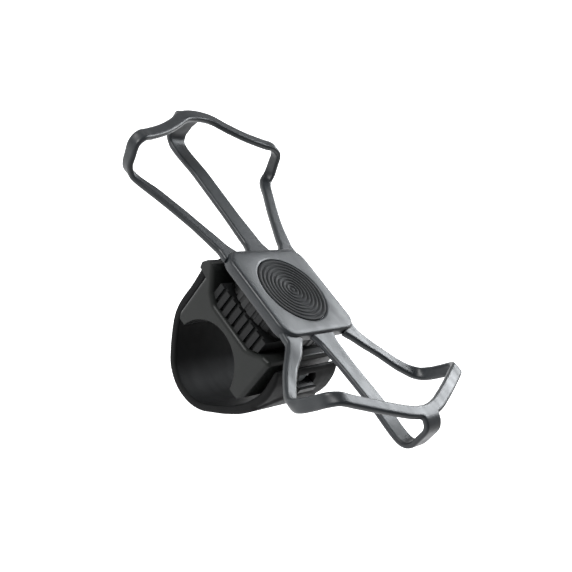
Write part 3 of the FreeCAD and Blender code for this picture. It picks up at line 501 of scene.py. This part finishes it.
def square_ring(half_x, half_y, corner):
    """Points of a rounded rectangle, evenly spread by angle."""
    points = []
    for dx, dy in circle_ring(1.0):
        reach = min(half_x / max(abs(dx), 1e-9), half_y / max(abs(dy), 1e-9))
        x, y = dx * reach, dy * reach
        over_x, over_y = abs(x) - (half_x - corner), abs(y) - (half_y - corner)
        if over_x > 0 and over_y > 0:
            cx = math.copysign(half_x - corner, x)
            cy = math.copysign(half_y - corner, y)
            b = dx * cx + dy * cy
            c = cx * cx + cy * cy - corner * corner
            reach = b + math.sqrt(max(0.0, b * b - c))
            x, y = dx * reach, dy * reach
        points.append((x, y))
    return points


def stacked(name, rings, look, closed):
    """A skin through rings of points, each given with its height."""
    bm = bmesh.new()
    made = [[bm.verts.new((x, y, z)) for x, y in points] for points, z in rings]
    join_rings(bm, made, closed)
    return finish_mesh(name, bm, look)


HUB_HALF_X, HUB_HALF_Y, HUB_CORNER = 21.4, 20.5, 6.5
HUB_EDGE = (  # how far in from the outline, and how high, from the underside up to the face
    (1.2, 33.25), (0.5, 33.4), (0.15, 33.75), (0.0, 34.4), (0.0, 36.5),
    (0.15, 37.1), (0.5, 37.5), (1.1, 37.68), (2.4, PHONE_BACK),
)
HUB_POCKET = (  # radius and height, from the face down into the pad's pocket and through the bore
    (15.9, PHONE_BACK), (15.35, 37.62), (15.05, 37.3), (15.0, 35.22),
    (8.2, 35.22), (8.0, 35.0), (8.0, 33.25),
)
hub_rings = []
for inset, z in HUB_EDGE:
    outline = square_ring(HUB_HALF_X - inset, HUB_HALF_Y - inset, HUB_CORNER - inset)
    hub_rings.append((outline, z))
for radius, z in HUB_POCKET:
    hub_rings.append((circle_ring(radius), z))
hub = stacked("tie_centre", hub_rings, SILICONE, closed=True)
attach(hub, "turntable")
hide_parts("tie_hub")

# ------------------------------------------------------------------ grip pad on the front

PAD_EDGE = ((14.7, 36.72), (14.88, 36.9), (14.88, 37.45), (14.7, 37.64))
RIDGES = 8
FIRST_RIDGE, RIDGE_PITCH = 14.3, 1.7
RIDGE_SHAPE = (  # how far in from the ridge's rim, and how high, over its top and through its groove
    (0.0, PHONE_BACK), (0.75, PHONE_BACK), (0.95, 37.38), (1.35, 37.34), (1.55, 37.66),
)
CENTRE_DOT = (0.6, PHONE_BACK)

pad_profile = list(PAD_EDGE)
for ridge in range(RIDGES):
    rim = FIRST_RIDGE - RIDGE_PITCH * ridge
    pad_profile += [(rim - inset, z) for inset, z in RIDGE_SHAPE]
pad_profile.append(CENTRE_DOT)
pad_rings = [(circle_ring(radius), z) for radius, z in pad_profile]
pad = stacked("grip_pad", pad_rings, PAD, closed=False)
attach(pad, "turntable")
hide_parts("front_pad")

# ------------------------------------------------------------------ the strap round the bar

BAR_RADIUS = 15.9
BAR_CLEARANCE = 0.02
STRAP_W, STRAP_T = 36.8, 2.9
PIN_Y, PIN_Z = 22.8, 27.1
EYE_RADIUS, EYE_W, EYE_T = 1.95, 26.0, 1.4


def on_arc(y, z, radius, angle, width, thickness):
    """A station on an arc round (y, z), facing outwards; the angle runs from +Y towards +Z."""
    a = math.radians(angle)
    outward = (0, math.cos(a), math.sin(a))
    return ((0, y + radius * outward[1], z + radius * outward[2]), outward, width, thickness)


# From the bar's axis to the strap's middle line.
BAR_REACH = BAR_RADIUS + STRAP_T / 2 + BAR_CLEARANCE
strap = [on_arc(PIN_Y, PIN_Z, EYE_RADIUS, angle, EYE_W, EYE_T) for angle in (215, 160, 105, 60, 20)]
strap += [
    ((0, 24.2, 25.4), (0, 1, 0.1), EYE_W, 2.0),
    ((0, 23.7, 22.9), (0, 1, -0.1), 36.5, 3.9),
    ((0, 23.3, 19.0), (0, 1, -0.08), 36.7, 3.6),
    ((0, 23.05, 14.0), (0, 1, 0), 36.7, 3.4),
    ((0, 23.05, 8.8), (0, 1, -0.05), 36.7, 3.4),
    ((0, 22.6, 4.1), (0, 0.97, -0.25), 36.7, 3.2),
    ((0, 20.9, -0.4), (0, 0.86, -0.51), STRAP_W, 3.0),
]
strap += [on_arc(0, 0, BAR_REACH, angle, STRAP_W, STRAP_T) for angle in (-36, -55, -80, -105, -125)]
strap += [
    ((0, -13.5, -10.9), (0, -0.78, -0.63), STRAP_W, STRAP_T),
    ((0, -18.9, -5.1), (0, -0.8, -0.58), STRAP_W, 3.1),
    ((0, -23.2, 1.0), (0, -0.88, -0.45), STRAP_W, 3.6),
    ((0, -25.6, 6.5), (0, -0.97, -0.2), STRAP_W, 4.2),
    ((0, -26.7, 12.0), (0, -1, 0), STRAP_W, 4.2),
    ((0, -26.2, 17.5), (0, -1, 0.1), STRAP_W, 3.9),
    ((0, -25.1, 21.3), (0, -1, 0.3), 36.6, 3.0),
    ((0, -24.6, 22.6), (0, -1, 0.3), 36.2, 1.9),
]

# The step that marks the tongue lies on the free end only.
FREE_END_Y, FREE_END_Z = -16, -6
TONGUE_DROP = 0.75
STEP_RISE = 1.3
ARCH_TOP, ARCH_FALL, ARCH_HALF_WIDTH = 11.6, 7.0, 18.4


def tongue_step(centre, u):
    """The free end's tongue lies a little lower than the band, past an arched step."""
    if centre.y > FREE_END_Y or centre.z < FREE_END_Z:
        return 0.0
    arch = ARCH_TOP - ARCH_FALL * (abs(u) / ARCH_HALF_WIDTH) ** 3
    share = min(1.0, max(0.0, (centre.z - arch) / STEP_RISE))
    return -TONGUE_DROP * smooth_share(share)


SLOT_W, SLOT_H, SLOT_CORNER, SLOT_Z = 10.8, 7.4, 1.4, 17.1
CUTTER_FRONT, CUTTER_REAR = -36.0, -20.0


def slot_cutter():
    """A block through the free end, in the shape of the slot that hooks over the peg."""
    bm = bmesh.new()
    outline = oblong(SLOT_W, SLOT_H, SLOT_CORNER, across=2)
    ends = [[bm.verts.new((u, y, SLOT_Z + v)) for u, v in outline] for y in (CUTTER_FRONT, CUTTER_REAR)]
    join_rings(bm, ends)
    return finish_mesh("slot_cutter", bm, STRAP)


bm = bmesh.new()
add_band(bm, strap, step=0.6, across=64, radius_share=0.3, relief=tongue_step)
band = finish_mesh("strap_band", bm, STRAP)
cutter = slot_cutter()
cut = band.modifiers.new("slot", "BOOLEAN")
cut.operation = "DIFFERENCE"
cut.object = cutter
cut.solver = "EXACT"
apply_modifiers(band)
bpy.data.objects.remove(cutter)
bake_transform(band)
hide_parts("bar_strap", "strap_tail")

# ------------------------------------------------------------------ floor, lights and camera

FLOOR_HALF = 9000
FLOOR_Z = -150
FAR_RIGHT = (0.894, 0.447, 0)


def floor_look():
    """A pale floor. Its glow falls off towards the near left, so that the clamp's sides stay dark."""
    n = Nodes("floor_look")
    pale = (0.9, 0.9, 0.9)
    speckle = n.noise(scale=9, detail=3)
    colours = n.ramp(speckle, [(0.3, tinted(pale, 0.99)), (0.7, pale)])
    n.join(colours, n.shader.inputs["Base Color"])
    n.shader.inputs["Roughness"].default_value = 0.9
    n.shader.inputs["Specular IOR Level"].default_value = 0.2
    n.shader.inputs["Emission Color"].default_value = (1, 1, 1, 1)
    across = n.add("ShaderNodeVectorMath", operation="DOT_PRODUCT")
    across.inputs[1].default_value = FAR_RIGHT
    n.join(n.place, across.inputs[0])
    glow = n.add("ShaderNodeMapRange", interpolation_type="SMOOTHSTEP")
    set_range(glow, start=-0.30, end=-0.04, low=0.62, high=0.95)
    n.join(across.outputs["Value"], glow.inputs["Value"])
    n.join(glow.outputs["Result"], n.shader.inputs["Emission Strength"])
    return n.material


floor_bm = bmesh.new()
bmesh.ops.create_grid(floor_bm, x_segments=2, y_segments=2, size=FLOOR_HALF)
bmesh.ops.translate(floor_bm, vec=(0, 0, FLOOR_Z), verts=floor_bm.verts)
floor = finish_mesh("floor", floor_bm, floor_look())

COOL = (0.93, 0.965, 1.0)


def softbox(name, place, target, size, power, tint=(1, 1, 1)):
    """A rectangular light at a place, turned towards its target."""
    light = bpy.data.lights.new(name, "AREA")
    light.shape = "RECTANGLE"
    light.size, light.size_y = size
    light.energy = power
    light.color = tint
    obj = bpy.data.objects.new(name, light)
    obj.location = place
    obj.rotation_euler = (Vector(target) - Vector(place)).to_track_quat("-Z", "Y").to_euler()
    bpy.context.scene.collection.objects.link(obj)


MIDDLE = (0, 0.006, 0.03)
LOWER_TIE = (0, -0.06, 0.05)
softbox("strand_glint", (0.82, 0.14, 0.50), LOWER_TIE, size=(0.42, 0.34), power=6.6, tint=COOL)
softbox("upper_back", (0.35, 0.80, 0.75), MIDDLE, size=(0.5, 0.25), power=0.9)
softbox("rim_side", (-0.55, 0.36, 0.75), MIDDLE, size=(0.42, 0.42), power=9.0)


def studio_sky():
    """A white sky down to the floor, dim overhead, so that the rubber mirrors little of it."""
    world = bpy.data.worlds.new("studio")
    world.use_nodes = True
    nodes, links = world.node_tree.nodes, world.node_tree.links
    direction = nodes.new("ShaderNodeTexCoord").outputs["Generated"]
    split = nodes.new("ShaderNodeSeparateXYZ")
    links.new(direction, split.inputs["Vector"])
    height = nodes.new("ShaderNodeMapRange")
    height.interpolation_type = "SMOOTHSTEP"
    set_range(height, start=0.10, end=0.34, low=0.97, high=0.15)
    links.new(split.outputs["Z"], height.inputs["Value"])
    background = nodes["Background"]
    background.inputs["Color"].default_value = (1, 1, 1, 1)
    links.new(height.outputs["Result"], background.inputs["Strength"])
    return world


bpy.context.scene.world = studio_sky()

camera_data = bpy.data.cameras.new("camera")
camera_data.sensor_width = 36.0
camera_data.lens = 60.78
camera_data.clip_start = 0.01
camera = bpy.data.objects.new("camera", camera_data)
# The view is rolled: right is its own right, and back points from the object to the camera.
right = Vector((0.6176, -0.5619, 0.5503)).normalized()
back = Vector((-0.7845, -0.3908, 0.4814))
back = (back - right * back.dot(right)).normalized()
up = back.cross(right)
turn = Matrix((right, up, back)).transposed().to_4x4()
camera.matrix_world = Matrix.Translation((-0.2774, -0.1352, 0.2064)) @ turn
bpy.context.scene.collection.objects.link(camera)
bpy.context.scene.camera = camera
bpy.context.scene.view_settings.view_transform = "Standard"
